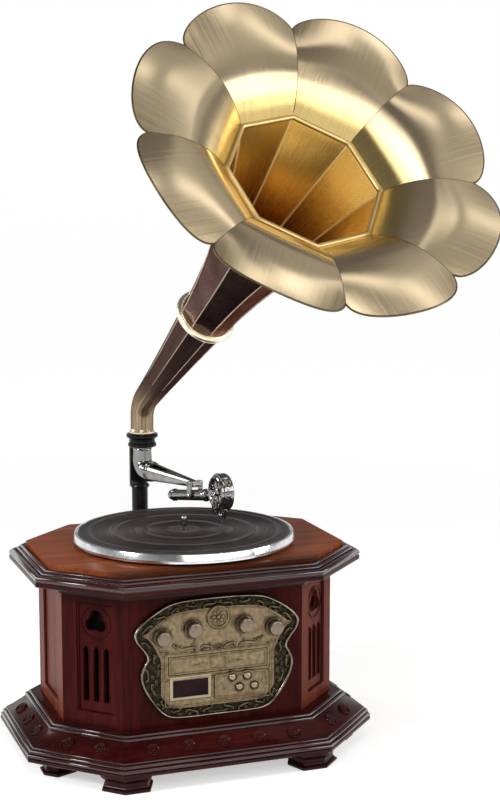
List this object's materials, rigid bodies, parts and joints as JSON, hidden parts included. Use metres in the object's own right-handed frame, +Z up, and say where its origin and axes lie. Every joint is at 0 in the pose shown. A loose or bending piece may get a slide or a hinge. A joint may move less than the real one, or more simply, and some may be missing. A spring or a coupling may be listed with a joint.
{
  "type": "gramophone",
  "caption": "Table gramophone with an eight-sided wooden cabinet, a belt-driven turntable, a brass control plaque with a disc drawer, and a petalled horn.",
  "frame": {"origin": "on the turntable's axis, in the plane that the feet stand on", "axes": "+Z up along the turntable's axis, -Y to the front, +X to the right seen from the front"},
  "size_m": [0.5427, 0.56, 0.9155],
  "materials": {
    "mahogany": "deep red-brown gloss lacquer",
    "top_veneer": "orange-brown gloss lacquer",
    "plain_board": "unfinished",
    "antique_brass": "cast and rubbed",
    "pale_brass": "polished",
    "champagne_brass": "satin brushed",
    "horn_lacquer": "dark maroon-brown gloss",
    "elbow_bronze": "bronze gloss",
    "display_glass": "dark",
    "chrome": "polished",
    "needle_steel": "polished",
    "platter_metal": "turned",
    "mat_rubber": "ribbed",
    "belt_rubber": "matt",
    "black_iron": "black enamel",
    "cloth": "black",
    "black_plastic": "moulded",
    "grey_plastic": "moulded",
    "speaker_black": "paper cone and steel basket",
    "circuit": "green resist",
    "motor_steel": "drawn can",
    "bearing_brass": "turned"
  },
  "bodies": {
    "cabinet": {"feet": "mahogany", "base_board": "plain_board", "plinth_moulding": "mahogany", "frieze_rosettes": "mahogany", "front_panel": "mahogany", "front_right_panel": "mahogany", "right_panel": "mahogany", "back_right_panel": "mahogany", "back_panel": "mahogany", "back_left_panel": "mahogany", "left_panel": "mahogany", "front_left_panel": "mahogany", "speaker_cloths": "cloth", "speakers": "speaker_black", "top_moulding": "mahogany", "top_board": "top_veneer", "front_plaque": "antique_brass", "medallion": "antique_brass", "display_frame": "pale_brass", "display_window": "display_glass", "button_plate": "antique_brass", "control_board": "circuit", "main_board": "circuit", "power_inlet": "black_plastic", "tray_deck": "grey_plastic", "motor": "motor_steel", "drive_belt": "belt_rubber", "platter_bearing": "bearing_brass", "horn_bracket": "black_iron", "bracket_screws": "needle_steel"},
    "turntable": {"platter": "platter_metal", "platter_mat": "mat_rubber", "spindle": "chrome", "drive_wheel": "grey_plastic"},
    "motor_drive": {"motor_pulley": "bearing_brass"},
    "drawer": {"drawer_front": "antique_brass", "disc_tray": "black_plastic"},
    "arm": {"tonearm": "chrome"},
    "head": {"head_tube": "chrome", "soundbox": "chrome", "needle": "needle_steel"},
    "horn": {"horn_elbow": "elbow_bronze", "horn_ring": "pale_brass", "horn_cone": "horn_lacquer", "horn_petal_1": "champagne_brass", "horn_petal_2": "champagne_brass", "horn_petal_3": "champagne_brass", "horn_petal_4": "champagne_brass", "horn_petal_5": "champagne_brass", "horn_petal_6": "champagne_brass", "horn_petal_7": "champagne_brass", "horn_petal_8": "champagne_brass"},
    "knob_1_body": {"knob_1": "antique_brass"},
    "knob_2_body": {"knob_2": "antique_brass"},
    "knob_3_body": {"knob_3": "antique_brass"},
    "knob_4_body": {"knob_4": "antique_brass"},
    "button_1_body": {"button_1": "pale_brass"},
    "button_2_body": {"button_2": "pale_brass"},
    "button_3_body": {"button_3": "pale_brass"},
    "button_4_body": {"button_4": "pale_brass"}
  },
  "joints": [
    {"name": "turntable_spin", "type": "hinge", "parent": "cabinet", "child": "turntable", "pos_m": [0, 0, 0], "axis": [0, 0, 1], "continuous": true},
    {"name": "motor_spin", "type": "hinge", "parent": "cabinet", "child": "motor_drive", "pos_m": [0.075, 0, 0], "axis": [0, 0, 1], "continuous": true},
    {"name": "drawer_slide", "type": "slide", "parent": "cabinet", "child": "drawer", "axis": [0, -1, 0], "range_m": [0, 0.125]},
    {"name": "tonearm_swing", "type": "hinge", "parent": "cabinet", "child": "arm", "pos_m": [0, 0.187, 0], "axis": [0, 0, 1], "range_deg": [-1.5, 30]},
    {"name": "head_lift", "type": "hinge", "parent": "arm", "child": "head", "pos_m": [0.03528, 0.06396, 0.301], "axis": [-0.9613, -0.2756, 0], "range_deg": [0, 12]},
    {"name": "horn_swivel", "type": "hinge", "parent": "cabinet", "child": "horn", "pos_m": [0, 0.187, 0], "axis": [0, 0, 1], "range_deg": [-90, 90]},
    {"name": "knob_1_turn", "type": "hinge", "parent": "cabinet", "child": "knob_1_body", "pos_m": [-0.0707, -0.133, 0.175], "axis": [0, -1, 0], "range_deg": [-150, 150]},
    {"name": "knob_2_turn", "type": "hinge", "parent": "cabinet", "child": "knob_2_body", "pos_m": [-0.0323, -0.133, 0.182], "axis": [0, -1, 0], "range_deg": [-150, 150]},
    {"name": "knob_3_turn", "type": "hinge", "parent": "cabinet", "child": "knob_3_body", "pos_m": [0.0323, -0.133, 0.182], "axis": [0, -1, 0], "range_deg": [-150, 150]},
    {"name": "knob_4_turn", "type": "hinge", "parent": "cabinet", "child": "knob_4_body", "pos_m": [0.0707, -0.133, 0.175], "axis": [0, -1, 0], "range_deg": [-150, 150]},
    {"name": "button_1_press", "type": "slide", "parent": "cabinet", "child": "button_1_body", "axis": [0, 1, 0], "range_m": [0, 0.002], "stiffness_N_per_m": 400},
    {"name": "button_2_press", "type": "slide", "parent": "cabinet", "child": "button_2_body", "axis": [0, 1, 0], "range_m": [0, 0.002], "stiffness_N_per_m": 400},
    {"name": "button_3_press", "type": "slide", "parent": "cabinet", "child": "button_3_body", "axis": [0, 1, 0], "range_m": [0, 0.002], "stiffness_N_per_m": 400},
    {"name": "button_4_press", "type": "slide", "parent": "cabinet", "child": "button_4_body", "axis": [0, 1, 0], "range_m": [0, 0.002], "stiffness_N_per_m": 400}
  ],
  "couplings": [
    {"joint": "motor_spin", "follows": "turntable_spin", "ratio": 7}
  ]
}
